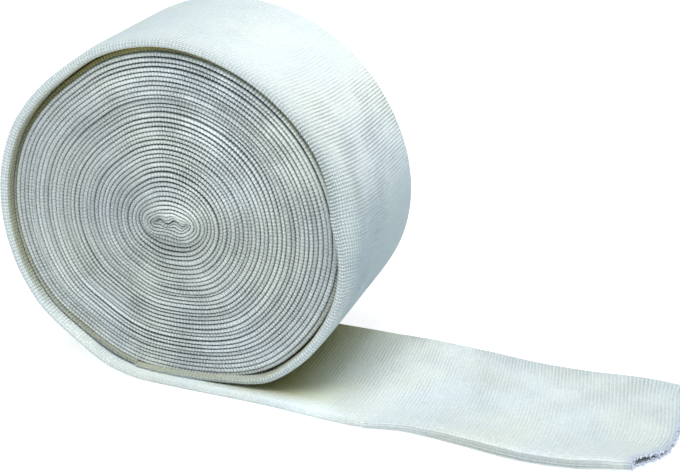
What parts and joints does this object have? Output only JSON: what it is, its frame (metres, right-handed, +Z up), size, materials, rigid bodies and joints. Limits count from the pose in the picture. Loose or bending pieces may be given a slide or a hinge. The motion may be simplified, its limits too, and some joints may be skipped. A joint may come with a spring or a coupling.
{
  "type": "tubular compression bandage",
  "caption": "Soft roll of flattened elasticated knitted tube, its last turn a little loose and its open end lying out along the surface.",
  "frame": {"origin": "centre of the flat spot under the roll, on the surface it rests on, straight below the roll's axis", "axes": "+X along the loose end, away from the roll; Y along the roll's axis; +Z up"},
  "size_m": [0.2742, 0.0887, 0.1446],
  "materials": {
    "elasticated_knit": "matt off-white ribbed knit of cotton with covered elastic yarn"
  },
  "bodies": {
    "root": {"tubular_bandage": "elasticated_knit"}
  },
  "joints": []
}
